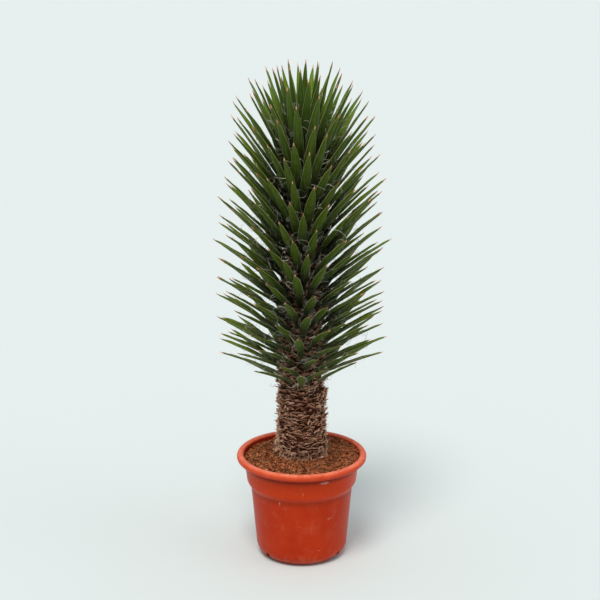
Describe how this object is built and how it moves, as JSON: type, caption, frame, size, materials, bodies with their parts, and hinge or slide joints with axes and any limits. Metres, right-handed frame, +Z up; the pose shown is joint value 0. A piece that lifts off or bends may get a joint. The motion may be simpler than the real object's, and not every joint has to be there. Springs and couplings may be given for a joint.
{
  "type": "potted yucca",
  "caption": "Single-stemmed yucca with a tall column of stiff pointed leaves over a scaly stem, in a tapered round container of potting soil.",
  "frame": {"origin": "centre of the container's flat underside, on the surface it stands on", "axes": "+Z up along the stem, -Y towards the viewer's side, +X to the viewer's right"},
  "size_m": [0.3982, 0.3887, 1.1477],
  "materials": {
    "terracotta_plastic": "satin",
    "potting_soil": "matte",
    "old_leaf_bases": "matte",
    "leaf_green": "satin"
  },
  "bodies": {
    "root": {"pot": "terracotta_plastic", "soil": "potting_soil", "stem": "old_leaf_bases", "leaf_head": "leaf_green"}
  },
  "joints": []
}
